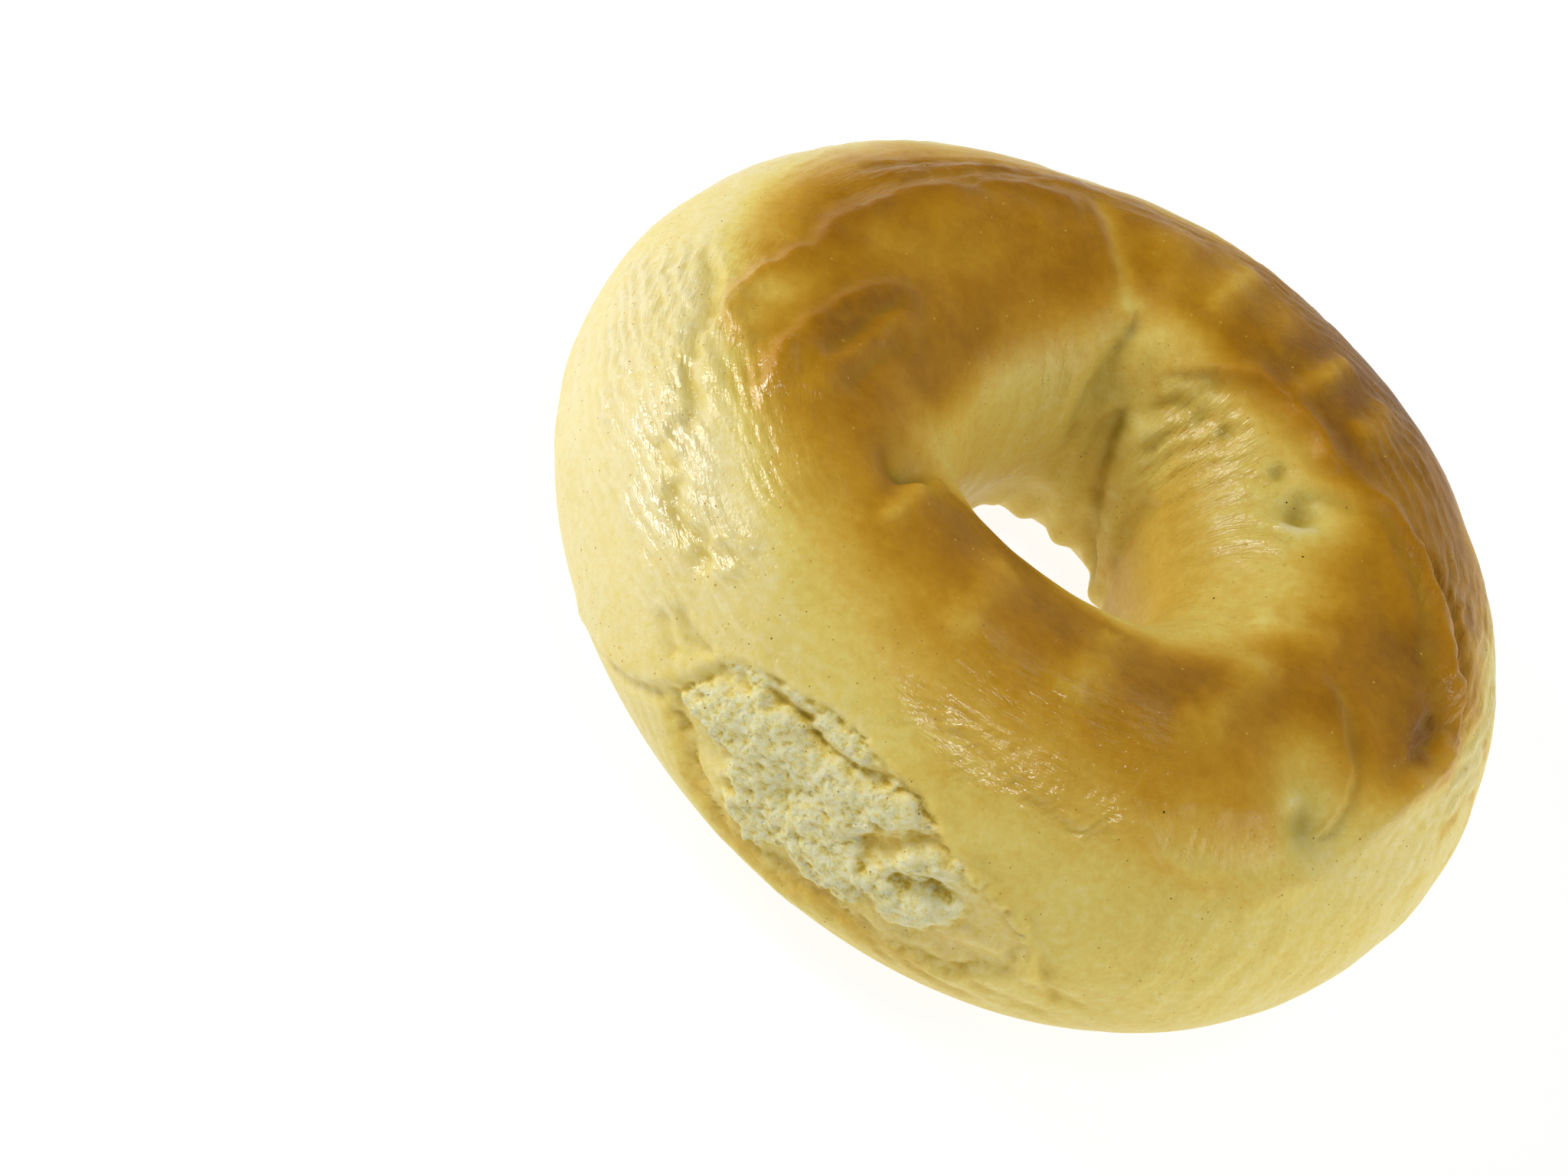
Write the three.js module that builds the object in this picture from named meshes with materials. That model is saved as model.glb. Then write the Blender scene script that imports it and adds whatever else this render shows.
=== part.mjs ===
// A plain bagel: one rope of dough joined into a ring, proved, boiled and baked.
// It is a single solid that lies on its flat base. Millimetres, +Z up, with the origin under the
// middle of its bounding box.

import * as THREE from "three";

// Driving sizes, mm.
const OUTER_DIAMETER = 120; // across the ring, before its lobes
const HOLE_DIAMETER = 27; // across the throat of the hole, before its lobes
const HEIGHT = 42; // from the base to the crest, before its folds
const SETTLE = 2.2; // how much of the round underside the flat base takes off
const CREST_INSET = 1.25; // how far the crest lies inside the middle of the rope of dough

// The exponent of each quarter of the section: 2 is an ellipse, and more is squarer.
const ROUNDNESS = { outerTop: 2, outerBottom: 2.2, innerTop: 2.1, innerBottom: 2.2 };

// Lobes: how far each outline strays from its circle, as shares of its radius.
const OUTER_LOBES = { oval: 0.03, threeSided: -0.015 };
const HOLE_LOBES = { offset: 0.14, threeSided: -0.12 };

// Crust features are placed by two angles in degrees: the azimuth round the ring, from +X towards
// +Y, and the section angle, which is 0 on the outside, 90 at the crest and 180 in the hole.
// Half widths run along the ring and along the section, and all lengths are in mm.
const HOLLOWS = [
  { azimuth: 227, section: 115, halfWidths: [3.6, 5.2], depth: 2.2 }, // dimple beside the hole
  { azimuth: 32, section: 118, halfWidths: [3, 3], depth: 1.2 }, // small round dimple
  { azimuth: 326, section: 64, halfWidths: [4, 7], depth: 1.4 }, // hollow outside the overlap
  { azimuth: 128, section: 54, halfWidths: [24, 6], depth: 1.1 }, // flat on the shoulder
  { azimuth: 263, section: 13, halfWidths: [15, 8], depth: 1.9 }, // torn crust on the side
];
const FOLDS = [
  {
    // The overlap: the dough's free edge, from beside the hole out to the shoulder.
    path: [[92, 116], [72, 115], [55, 113], [30, 92], [15, 78], [0, 65], [-25, 50]],
    halfWidth: 3,
    rise: 1.2,
  },
  {
    // The seam, where the rope's two ends were pressed together.
    path: [[96, 182], [104, 150], [112, 128], [108, 112], [118, 75]],
    halfWidth: 3,
    rise: -1.2,
  },
  {
    // The skirt under the torn crust.
    path: [[236, -12], [250, -17], [264, -20], [278, -16], [290, -10]],
    halfWidth: 3,
    rise: 0.9,
  },
];
const FOLD_SAMPLES = 60; // points along a fold's path, close enough together for its width

// The grid of the solid's faces.
const AZIMUTH_STEPS = 96;
const SECTION_STEPS = 36;

const ringRadius = (OUTER_DIAMETER + HOLE_DIAMETER) / 4 - CREST_INSET;
const centreHeight = (HEIGHT - SETTLE) / 2;
const halfHeight = (HEIGHT + SETTLE) / 2;

// Half the section's width at an azimuth, on the ring's outer side or on its hole side.
function halfWidth(azimuth, outside) {
  if (outside) {
    const { oval, threeSided } = OUTER_LOBES;
    const lobes = 1 + oval * Math.cos(2 * azimuth) + threeSided * Math.cos(3 * azimuth);
    return (OUTER_DIAMETER / 2) * lobes - ringRadius;
  }
  const { offset, threeSided } = HOLE_LOBES;
  const lobes = 1 + offset * Math.sin(azimuth) + threeSided * Math.sin(3 * azimuth);
  return ringRadius - (HOLE_DIAMETER / 2) * lobes;
}

// The plain section's reach from its centre at a section angle.
function plainReach(azimuth, section) {
  const across = Math.cos(section);
  const up = Math.sin(section);
  const outside = across >= 0;
  const [top, bottom] = outside
    ? [ROUNDNESS.outerTop, ROUNDNESS.outerBottom]
    : [ROUNDNESS.innerTop, ROUNDNESS.innerBottom];
  const power = up >= 0 ? top : bottom;
  const acrossTerm = (Math.abs(across) / halfWidth(azimuth, outside)) ** power;
  const upTerm = (Math.abs(up) / halfHeight) ** power;
  return (acrossTerm + upTerm) ** (-1 / power);
}

// The section angles at which the base cuts the section, on its outer side and its hole side.
function baseAngles(azimuth) {
  const edge = (outside, power) =>
    halfWidth(azimuth, outside) * (1 - (centreHeight / halfHeight) ** power) ** (1 / power);
  const outer = Math.atan2(-centreHeight, edge(true, ROUNDNESS.outerBottom));
  const inner = Math.atan2(-centreHeight, -edge(false, ROUNDNESS.innerBottom));
  return [outer, inner + 2 * Math.PI];
}

// How far apart two places on the crust are, along the ring and along the section.
function separation(azimuth, section, toAzimuth, toSection, reach) {
  const turn = azimuth - toAzimuth;
  const shortTurn = Math.atan2(Math.sin(turn), Math.cos(turn));
  const axisDistance = ringRadius + reach * Math.cos(section);
  return [shortTurn * axisDistance, (section - toSection) * reach];
}

function hollowDepth(hollow, azimuth, section, reach) {
  const middle = [hollow.azimuth, hollow.section].map(THREE.MathUtils.degToRad);
  const [along, across] = separation(azimuth, section, ...middle, reach);
  const [alongWidth, acrossWidth] = hollow.halfWidths;
  return hollow.depth * Math.exp(-((along / alongWidth) ** 2) - (across / acrossWidth) ** 2);
}

const foldPaths = FOLDS.map(({ path }) => {
  const points = path.map((angles) => new THREE.Vector2(...angles.map(THREE.MathUtils.degToRad)));
  return new THREE.SplineCurve(points).getPoints(FOLD_SAMPLES);
});

function foldRise(fold, points, azimuth, section, reach) {
  const distances = points.map((point) =>
    Math.hypot(...separation(azimuth, section, point.x, point.y, reach)),
  );
  return fold.rise * Math.exp(-((Math.min(...distances) / fold.halfWidth) ** 2));
}

// The crust's point at an azimuth and a section angle, with its hollows and folds.
function crustPoint(azimuth, section) {
  const plain = plainReach(azimuth, section);
  let reach = plain;
  for (const hollow of HOLLOWS) reach -= hollowDepth(hollow, azimuth, section, plain);
  FOLDS.forEach((fold, index) => {
    reach += foldRise(fold, foldPaths[index], azimuth, section, plain);
  });
  const axisDistance = ringRadius + reach * Math.cos(section);
  const height = centreHeight + reach * Math.sin(section);
  return [axisDistance * Math.cos(azimuth), axisDistance * Math.sin(azimuth), height];
}

// One section of the crust, from the base's outer edge over the crest to its edge at the hole.
function sectionPoints(azimuth) {
  const [outer, inner] = baseAngles(azimuth);
  const points = [];
  for (let step = 0; step <= SECTION_STEPS; step += 1) {
    const section = THREE.MathUtils.lerp(outer, inner, step / SECTION_STEPS);
    const point = crustPoint(azimuth, section);
    const onBase = step === 0 || step === SECTION_STEPS;
    points.push(onBase ? [point[0], point[1], 0] : point);
  }
  return points;
}

// The whole ring: sections side by side, each closed by the flat base between its two ends.
function ringGeometry() {
  const rows = SECTION_STEPS + 1;
  const positions = [];
  const faces = [];
  for (let column = 0; column < AZIMUTH_STEPS; column += 1) {
    const azimuth = (2 * Math.PI * column) / AZIMUTH_STEPS;
    positions.push(...sectionPoints(azimuth).flat());
    const here = column * rows;
    const next = ((column + 1) % AZIMUTH_STEPS) * rows;
    for (let row = 0; row < rows; row += 1) {
      const above = (row + 1) % rows;
      faces.push(here + row, next + row, next + above);
      faces.push(here + row, next + above, here + above);
    }
  }
  const geometry = new THREE.BufferGeometry();
  geometry.setAttribute("position", new THREE.Float32BufferAttribute(positions, 3));
  geometry.setIndex(faces);
  geometry.computeVertexNormals();
  return geometry;
}

const crust = new THREE.MeshStandardMaterial({ color: 0xe3d096, roughness: 0.5, metalness: 0 });
const bagel = new THREE.Mesh(ringGeometry(), crust);
bagel.name = "bagel";

// The lobes put the ring's axis off the middle of the bounding box, which is where the origin is.
const box = new THREE.Box3().setFromObject(bagel);
const middle = box.getCenter(new THREE.Vector3());
bagel.position.set(-middle.x, -middle.y, 0);

const object = new THREE.Group();
object.add(bagel);

export default object;
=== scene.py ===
"""A plain bagel, lying on its base: a glossy baked crust with folds, wrinkles and a torn place.

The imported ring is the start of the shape. Its surface is read by rays from the middle of the dough,
smoothed, and then sculpted in mm by strokes, dents and wrinkles placed by two angles in degrees:
the azimuth round the ring, from +X towards +Y, and the section angle, which is 0 on the outside,
90 at the crest and 180 in the hole. The same places drive how far the crust is baked.
"""

import bpy
import numpy as np
from mathutils import Matrix, Vector, noise
from mathutils.bvhtree import BVHTree


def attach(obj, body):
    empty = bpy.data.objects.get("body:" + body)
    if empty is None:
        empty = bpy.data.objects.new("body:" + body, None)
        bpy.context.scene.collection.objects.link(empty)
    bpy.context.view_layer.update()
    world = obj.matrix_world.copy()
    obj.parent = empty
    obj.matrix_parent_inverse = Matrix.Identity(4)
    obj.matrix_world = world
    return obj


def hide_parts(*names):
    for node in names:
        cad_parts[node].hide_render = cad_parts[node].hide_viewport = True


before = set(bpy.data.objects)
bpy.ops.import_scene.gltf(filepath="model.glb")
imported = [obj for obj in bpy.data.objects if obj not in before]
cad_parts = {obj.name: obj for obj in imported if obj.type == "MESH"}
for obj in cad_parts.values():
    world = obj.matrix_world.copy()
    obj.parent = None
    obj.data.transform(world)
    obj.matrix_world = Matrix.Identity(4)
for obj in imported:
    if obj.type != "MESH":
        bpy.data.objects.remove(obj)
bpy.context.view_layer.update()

MM = 0.001
RING_AXIS = (0.89, -0.05)  # where the ring's axis stands in the frame, mm
RING_RADIUS = 35.5  # the circle of the section centres, mm
SECTION_HEIGHT = 19.9  # their height above the base, mm

# The grid of the crust: (from, to, step) in degrees, finest at the torn place.
AZIMUTH_BANDS = [
    (0, 180, 1.1), (180, 238, 0.62), (238, 296, 0.45), (296, 312, 0.62), (312, 360, 1.0)
]
SECTION_BANDS = [
    (-62, -30, 2.2), (-30, -18, 1.2), (-18, 42, 0.8), (42, 66, 1.0), (66, 140, 1.6),
    (140, 242, 2.6), (242, 298, 9.0),
]

# ------------------------------------------------------------------ the grid and its base shape


def grid_angles(bands):
    """The angles of the grid's lines."""
    steps = [np.linspace(a, b, round((b - a) / step), endpoint=False) for a, b, step in bands]
    return np.concatenate(steps)


AZ = grid_angles(AZIMUTH_BANDS)[:, None]
SEC = grid_angles(SECTION_BANDS)[None, :]
SHAPE = (AZ.shape[0], SEC.shape[1])


def cad_reach(node, azimuths, sections):
    """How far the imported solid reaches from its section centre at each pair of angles, mm."""
    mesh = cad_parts[node].data
    corners = [vertex.co / MM for vertex in mesh.vertices]
    tree = BVHTree.FromPolygons(corners, [tuple(p.vertices) for p in mesh.polygons])
    reach = np.zeros((len(azimuths), len(sections)))
    for i, azimuth in enumerate(np.radians(azimuths)):
        outward = Vector((np.cos(azimuth), np.sin(azimuth), 0))
        centre = Vector((*RING_AXIS, SECTION_HEIGHT)) + outward * RING_RADIUS
        for j, section in enumerate(np.radians(sections)):
            ray = outward * np.cos(section) + Vector((0, 0, np.sin(section)))
            reach[i, j] = tree.ray_cast(centre, ray)[3]
    return reach


def spline_weights(angles, count):
    """Cubic B-spline weights at these angles for count samples, each at the middle of its step."""
    place = np.asarray(angles) / 360 * count - 0.5
    cell = np.floor(place).astype(int)
    t = place - cell
    basis = [(1 - t) ** 3, 3 * t**3 - 6 * t**2 + 4, -3 * t**3 + 3 * t**2 + 3 * t + 1, t**3]
    weights = np.zeros((len(place), count))
    for offset, weight in enumerate(basis, start=-1):
        weights[np.arange(len(place)), (cell + offset) % count] += weight / 6
    return weights


def smooth_reach(node, azimuth_samples=96, section_samples=60):
    """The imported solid's reach with its facets smoothed away, on the whole grid."""
    azimuths = (np.arange(azimuth_samples) + 0.5) * 360 / azimuth_samples
    sections = (np.arange(section_samples) + 0.5) * 360 / section_samples
    samples = cad_reach(node, azimuths, sections)
    round_ring = spline_weights(AZ[:, 0], azimuth_samples)
    round_section = spline_weights(SEC[0], section_samples)
    return round_ring @ samples @ round_section.T


base_reach = smooth_reach("bagel")
ALONG_MM = np.radians(RING_RADIUS + base_reach * np.cos(np.radians(SEC)))  # mm per degree
ACROSS_MM = np.radians(base_reach)


def positions(reach):
    """The grid's points in the frame, mm, with everything under the base brought up to it."""
    azimuth, section = np.radians(AZ), np.radians(SEC)
    from_axis = RING_RADIUS + reach * np.cos(section)
    height = np.maximum(SECTION_HEIGHT + reach * np.sin(section), 0)
    x = RING_AXIS[0] + from_axis * np.cos(azimuth)
    y = RING_AXIS[1] + from_axis * np.sin(azimuth)
    return np.stack([x, y, height], axis=-1)


# ------------------------------------------------------------------ tools for sculpting


def turn(difference):
    """A difference of azimuths, the short way round."""
    return (difference + 180) % 360 - 180


def ease(value, low, high):
    """0 below low, 1 above high, and smooth between."""
    t = np.clip((value - low) / (high - low), 0, 1)
    return t * t * (3 - 2 * t)


def patch(azimuths, sections, soft=4.0):
    """1 inside a range of both angles, fading to 0 over soft degrees round it."""
    middle = (azimuths[0] + azimuths[1]) / 2
    half = (azimuths[1] - azimuths[0]) / 2
    inside = half - np.abs(turn(AZ - middle))
    above, below = SEC - sections[0], sections[1] - SEC
    return ease(inside, -soft, soft) * ease(above, -soft, soft) * ease(below, -soft, soft)


def round_ring(points, spread=7.0):
    """A value that varies round the ring, eased between (azimuth, value) pairs."""
    places, values = zip(*points)
    shifts = np.linspace(-spread, spread, 9)
    return np.mean([np.interp(AZ + s, places, values, period=360) for s in shifts], axis=0)


def smooth_path(points, per_step=10):
    """A Catmull-Rom curve through the points."""
    p = np.array(points, float)
    p = np.vstack([2 * p[0] - p[1], p, 2 * p[-1] - p[-2]])
    t = np.linspace(0, 1, per_step, endpoint=False)[:, None]
    pieces = []
    for a, b, c, d in zip(p, p[1:], p[2:], p[3:]):
        curve = b + 0.5 * t * (c - a + t * (2 * a - 5 * b + 4 * c - d + t * (3 * (b - c) + d - a)))
        pieces.append(curve)
    return np.vstack(pieces + [p[-2:-1]])


def window(points, margin):
    """The grid's columns and rows within margin mm of a path."""
    low, high = np.min(points, axis=0), np.max(points, axis=0)
    middle, half = (low[0] + high[0]) / 2, (high[0] - low[0]) / 2
    narrowest = ALONG_MM.min(axis=1)
    columns = (np.abs(turn(AZ[:, 0] - middle)) - half) * narrowest < margin
    rows = (SEC[0] > low[1] - margin * 3) & (SEC[0] < high[1] + margin * 3)
    return np.ix_(np.flatnonzero(columns), np.flatnonzero(rows))


def stroke(points, margin=7.0):
    """Each nearby grid point's distance from a line on the crust, mm, signed + on the line's left
    with azimuth to the right and section angle up, and how far along the line it is, 0 to 1."""
    path = smooth_path(points)
    area = window(path, margin)
    azimuths, sections = AZ[area[0][:, 0]], SEC[:, area[1][0]]
    along, across = ALONG_MM[area], ACROSS_MM[area]
    best = np.full(along.shape, np.inf)
    side, share = np.zeros(along.shape), np.zeros(along.shape)
    tangents = np.gradient(path, axis=0)
    for i, (place, tangent) in enumerate(zip(path, tangents)):
        dx = turn(azimuths - place[0]) * along
        dy = (sections - place[1]) * across
        distance = dx**2 + dy**2
        left = tangent[0] * along * dy - tangent[1] * across * dx
        nearer = distance < best
        best = np.where(nearer, distance, best)
        side = np.where(nearer, np.where(left >= 0, 1, -1), side)
        share = np.where(nearer, i / (len(path) - 1), share)
    return area, np.sqrt(best) * side, share


def taper(share, ends):
    """1 along a line, fading to 0 over these shares of it at both ends."""
    return ease(share, 0, ends) * ease(1 - share, 0, ends)


OCTAVE_FALLOFF = 1.0  # how fast the noise weakens from one octave to the next
OCTAVE_FINENESS = 2.0  # how much finer each octave is than the one before
SEED_STEP = 17.3  # how far apart two seeds read the noise


def fractal(points, octaves=3):
    """Fractal noise about 0 at each point of an array of triples."""
    flat = points.reshape(-1, 3)
    values = [noise.fractal(p, OCTAVE_FALLOFF, OCTAVE_FINENESS, octaves) for p in flat.tolist()]
    return np.array(values).reshape(points.shape[:-1])


base_points = positions(base_reach)


def lumps(size, seed, octaves=3):
    """Noise over the whole crust with features of about this size, mm."""
    return fractal(base_points / size + seed * SEED_STEP, octaves)


# ------------------------------------------------------------------ the crust's fields

rise = np.zeros(SHAPE)  # how far the crust stands out from the base shape, mm
tint = np.zeros(SHAPE)  # what the features add to the bake, which runs from 0 to 1
olive_and_shade = np.zeros(SHAPE)  # a greenish tone: painted shade in dimples, deep folds, valleys and deep in the hole, and a little greenish tone of the dough on some pale ridges
rust = np.zeros(SHAPE)  # the orange tone of the folds that baked most
crumb = np.zeros(SHAPE)  # 1 where the crust is torn off
gloss = np.full(SHAPE, 0.04)  # how strongly the crust shines
lines_round = np.zeros(SHAPE)  # fine wrinkles that run round the ring
lines_across = np.zeros(SHAPE)  # fine wrinkles that run across the section
# Noise that varies how strong a hand-made fold is, and noise that sways its line sideways.
strength_noise = lumps(4.0, 1, 2)
sway_noise = lumps(3.2, 2, 2)
STRENGTH_SPREAD = 0.3
SWAY_SPREAD = 0.4  # as a share of the fold's half width


def wobble(area, share, ends):
    """How strong a hand-made fold is along its length, with its ends faded out."""
    return taper(share, ends) * (1 + STRENGTH_SPREAD * strength_noise[area])


def ridge(points, half_width, height, bake=0.0, green_and_shade=0.0, red=0.0, bake_width=None, ends=0.2):
    """A round ridge, or a valley if its height is negative."""
    area, distance, share = stroke(points)
    distance = distance + SWAY_SPREAD * half_width * sway_noise[area]
    strength = wobble(area, share, ends)
    rise[area] += height * np.exp(-((distance / half_width) ** 2)) * strength
    painted = np.exp(-((distance / (bake_width or half_width)) ** 2)) * strength
    tint[area] += bake * painted
    # The olive tone mostly paints shade into valleys and creases.
    olive_and_shade[area] += green_and_shade * painted
    rust[area] += red * painted


def lip(points, height, fade, cut=0.5, bake=0.0, bake_fade=None, edge=1.3):
    """The edge of an overlap: the crust on the line's left stands over a narrow cut on its right."""
    area, distance, share = stroke(points, margin=fade * 3)
    distance = distance + SWAY_SPREAD * edge * sway_noise[area]
    strength = wobble(area, share, 0.15)
    above = ease(distance, -edge / 2, edge / 2) * np.exp(-np.maximum(distance, 0) / fade)
    groove = np.exp(-(((distance + edge * 0.9) / edge) ** 2))
    rise[area] += (height * above - cut * groove) * strength
    fade_out = np.exp(-np.maximum(distance, 0) / (bake_fade or fade))
    tint[area] += bake * ease(distance, -edge, edge) * fade_out * strength


def dent(azimuth, section, along, across, depth, bake=0.0, green_and_shade=0.0):
    """A dimple with these half widths and depth, mm, or a bump if its depth is negative."""
    dx = turn(AZ - azimuth) * ALONG_MM / along
    dy = (SEC - section) * ACROSS_MM / across
    shape = np.exp(-(dx**2 + dy**2))
    rise[:] -= depth * shape
    tint[:] += bake * shape
    olive_and_shade[:] += green_and_shade * shape


def outline(points, ragged, seed):
    """Each grid point's distance inside a closed line that runs anticlockwise, mm, and negative
    outside it, with the line frayed by this much."""
    area, distance, _ = stroke(points + points[:1], margin=14)
    fray = 0.7 * lumps(2.4, seed, 2) + 0.3 * lumps(1.1, seed + 1, 2)
    inside = np.full(SHAPE, -99.0)
    inside[area] = distance + ragged * fray[area]
    return inside


# ------------------------------------------------------------------ the crust's features


def unevenness():
    """The broad swells of hand-shaped dough."""
    swell = ease(SEC, -40, 0) * ease(250 - SEC, 20, 60)
    rise[:] += swell * (0.55 * lumps(22, 3, 2) + 0.16 * lumps(7, 4, 2))


def press_ridges():
    """Pale ridges across the crown, where the crust was pressed while it was hot."""
    ridge([(226, 121), (231, 110), (236, 99), (239, 84)], 1.5, 0.8, bake=-0.34, bake_width=1.5)
    ridge([(222, 107), (229, 101), (234, 92), (237, 80)], 2.0, -0.35, bake=0.1)
    ridge([(258, 126), (260, 108), (261, 92), (261, 78)], 2.2, 0.4, bake=-0.26, bake_width=2.8)
    ridge([(296, 124), (291, 108), (286, 94), (282, 80)], 2.0, 0.5, bake=-0.3, bake_width=2.6,
          green_and_shade=0.12)
    ridge([(336, 112), (326, 102), (315, 94), (303, 79)], 2.2, 0.5, bake=-0.26, bake_width=2.6,
          green_and_shade=0.12)
    ridge([(346, 126), (350, 108), (352, 94)], 2.2, 0.4, bake=-0.24, bake_width=2.6)
    ridge([(92, 106), (90.5, 88), (88, 66)], 1.6, 0.7, bake=-0.3, bake_width=1.9)
    ridge([(64, 108), (65.5, 91), (66.5, 66)], 1.6, 0.8, bake=-0.36, bake_width=1.6)
    ridge([(50, 94), (53, 80), (58, 64)], 1.7, 0.6, bake=-0.26, bake_width=2.0)
    ridge([(77, 102), (78, 86), (79, 68)], 1.8, 0.4, bake=-0.16, bake_width=2.2)
    ridge([(104, 106), (103, 88), (101, 68)], 2.6, 0.3, bake=-0.12, bake_width=3.2)


def shoulder_folds():
    """The curved folds on the left shoulder and over the crown."""
    second = [(172, 104), (178, 95), (184, 88), (190, 83), (197, 78), (203, 72), (210, 66),
              (218, 61)]
    lip(second, 1.2, 3.8, cut=0.2, bake=0.12, bake_fade=4.0, edge=2.2)
    ridge(second, 2.2, 0.4, bake=0.07, red=0.2)
    ridge([(178, 108), (187, 101), (196, 95), (203, 89), (209, 83), (214, 77)], 1.9, 0.9,
          bake=-0.1, red=0.1, bake_width=1.5)
    ridge([(179, 103), (190, 95), (198, 89), (206, 82)], 1.3, -0.8, bake=0.1)
    ridge([(186, 108), (196, 101), (205, 95), (212, 89)], 1.6, -0.5, bake=0.02)
    first = [(140, 76), (150, 74), (156, 71), (164, 70), (172, 68), (177, 69), (181, 73)]
    lip(first, 0.7, 3.4, cut=0.3, bake=0.1, bake_fade=3.0, edge=2.0)
    ridge(first, 2.1, 0.55, bake=0.16, red=0.4)
    steps = [(178, 71), (183, 65), (187, 62), (190, 58), (194, 54), (199, 53), (203, 57),
             (206, 62)]
    lip(steps, 0.8, 3.4, cut=0.2, bake=0.1, bake_fade=4.0, edge=2.0)
    ridge(steps, 1.9, 0.4, bake=0.05, red=0.25)
    ridge([(112, 68), (124, 64), (136, 62), (150, 61), (164, 60)], 1.5, 0.6, bake=0.1, red=0.2)
    ridge([(120, 60), (134, 57), (148, 56), (162, 55)], 1.4, -0.45, bake=0.1)
    ridge([(122, 82), (132, 76), (144, 72)], 1.5, 0.6, bake=0.1, red=0.25)
    ridge([(128, 92), (138, 86), (150, 84), (162, 86)], 2.6, 0.4, bake=-0.08)
    ridge([(174, 76), (171, 83), (166, 91), (154, 98), (142, 106)], 3.6, -0.2, bake=-0.15,
          green_and_shade=0.06)
    ridge([(192, 57), (192, 65), (188, 73), (186, 81)], 2.8, -0.1, bake=-0.16)


def overlap():
    """The dough's free edge, from beside the hole over the right shoulder."""
    rim = [(97, 133), (88, 125), (80, 118), (73, 112), (67, 109), (60, 107), (52, 106),
           (45, 105), (38, 97)]
    lip(rim, 1.0, 3.6, cut=0.5, bake=0.12, bake_fade=2.4, edge=1.6)
    ridge(rim, 1.7, 0.7, bake=-0.05, red=0.4, bake_width=1.9)
    edge = [(42, 102), (36, 94), (31, 87), (22, 80), (13, 72), (6, 66), (2, 57), (-3, 50),
            (-11, 50), (-18, 51), (-24, 47), (-29, 42)]
    ridge(edge, 1.8, 1.2, bake=-0.03, red=0.3, bake_width=1.9)
    inner = [(36, 99), (28, 90), (20, 84), (11, 77), (2, 70), (-4, 62), (-12, 57), (-19, 57),
             (-25, 54)]
    ridge(inner, 1.6, -0.7, bake=0.16, bake_width=1.9)
    ridge([(30, 95), (21, 89), (12, 82), (4, 74)], 1.4, 0.5, bake=-0.06, red=0.15)
    ridge([(34, 88), (27, 77), (20, 67), (12, 59), (6, 55), (0, 50), (-8, 44)], 1.3, -0.8,
          bake=0.2)
    for azimuth, section, size in [(26, 81, 1.4), (17, 74, 1.6), (9, 68, 1.3), (3, 61, 1.5),
                                   (34, 92, 1.4), (58, 107, 1.5), (75, 113, 1.4), (-6, 52, 1.4)]:
        dent(azimuth, section, size, size, -0.45, bake=-0.06)
    dent(4, 80, 4.0, 4, 0.35, bake=0.2)
    dent(-10, 62, 5, 3, 0.35, bake=0.14)


def seam():
    """Where the rope's two ends were pressed together, down the far wall of the hole."""
    ridge([(119, 66), (117.5, 80), (115.5, 95), (111.5, 108), (108, 118)], 1.6, -0.35,
          bake=-0.28, bake_width=1.7)
    ridge([(121, 70), (120, 84), (118, 97), (114, 110)], 1.0, 0.35, bake=0.06)
    # The creases below take the olive tone, which paints their shade.
    first = [(107.5, 110), (109, 121), (111.5, 131), (114, 144), (112.5, 159), (107, 174)]
    lip(first[::-1], 1.0, 4, cut=0.5, edge=1.7)
    ridge(first, 1.2, -0.4, green_and_shade=0.32, ends=0.3)
    ridge([(104, 118), (105, 130), (108, 144), (108, 160)], 2.4, 0.4, green_and_shade=0.1)
    second = [(96, 144), (94.5, 151), (91.5, 166), (82, 184), (68, 204), (58, 212)]
    lip(second, 1.2, 4, cut=0.8, edge=1.6)
    ridge(second, 1.0, -0.6, green_and_shade=0.45, ends=0.1)
    ridge([(92, 142), (83.5, 153), (76.5, 171), (66, 186), (48, 196)], 2.0, 1.0, bake=-0.06)
    ridge([(61, 158), (63, 172), (59, 186), (50, 196)], 1.6, -0.6, green_and_shade=0.2)
    ridge([(101, 140), (103, 155), (101, 170), (95, 188)], 1.8, 0.6)
    ridge([(118, 122), (123, 140), (127, 158), (128, 176)], 2.0, 0.35)


def throat():
    """The knobbly edge of the hole, low on its far side."""
    for azimuth, section, size, height in [
        (97, 190, 2.4, 1.3), (86, 215, 2.4, 2.2), (70, 211, 1.6, 1.3), (103, 217, 2.0, 1.5),
        (118, 209, 1.6, 1.0), (58, 216, 2.2, 1.9), (131, 213, 2.2, 1.2), (42, 208, 1.6, 0.9),
        (83, 193, 1.4, 0.8), (108, 189, 1.4, 0.7), (70, 196, 1.5, 0.8), (146, 206, 1.8, 0.8),
        (28, 205, 1.8, 0.8), (93, 203, 1.5, 0.9),
    ]:
        dent(azimuth, section, size, size * 1.4, -height, bake=-0.03)


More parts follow.
